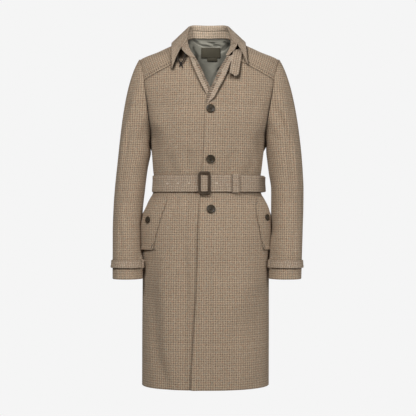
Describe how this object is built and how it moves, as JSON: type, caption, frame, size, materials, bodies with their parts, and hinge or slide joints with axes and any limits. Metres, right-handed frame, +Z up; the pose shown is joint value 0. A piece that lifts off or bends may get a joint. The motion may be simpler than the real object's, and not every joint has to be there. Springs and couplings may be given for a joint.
{
  "type": "belted tweed coat",
  "caption": "Knee-length single-breasted belted coat in checked tweed, hollow as on an invisible figure, with set-in sleeves, turn-down collar, slanted hip pockets and strapped cuffs.",
  "frame": {"origin": "middle of the neck opening, level with the neck ends of the shoulder lines", "axes": "+Z up along the coat's length, the front faces -Y, the wearer's left is +X"},
  "size_m": [0.5916, 0.2848, 1.1215],
  "materials": {
    "tweed": "matt woollen cloth with a small check",
    "lining": "satin sheen",
    "label": "plain woven label, bare",
    "leather": "dark covered buckle",
    "cord": "dark twisted cord",
    "horn": "polished horn, satin"
  },
  "bodies": {
    "root": {"front_left": "tweed", "front_right": "tweed", "back": "tweed", "yoke_left": "tweed", "yoke_right": "tweed", "sleeve_left_top": "tweed", "sleeve_left_under": "tweed", "sleeve_right_top": "tweed", "sleeve_right_under": "tweed", "collar_stand": "tweed", "collar_fall": "tweed", "facing_left": "tweed", "facing_right": "tweed", "throat_tab": "tweed", "pocket_left": "tweed", "pocket_right": "tweed", "cuff_strap_left": "tweed", "cuff_strap_right": "tweed", "cuff_loop_left": "tweed", "cuff_loop_right": "tweed", "belt": "tweed", "belt_tail": "tweed", "belt_keeper": "tweed", "lining_back": "lining", "label": "label", "label_tab": "label", "buckle": "leather", "throat_loop": "cord", "button_front_1": "horn", "button_front_2": "horn", "button_front_3": "horn", "button_pocket_left": "horn", "button_pocket_right": "horn"}
  },
  "joints": []
}
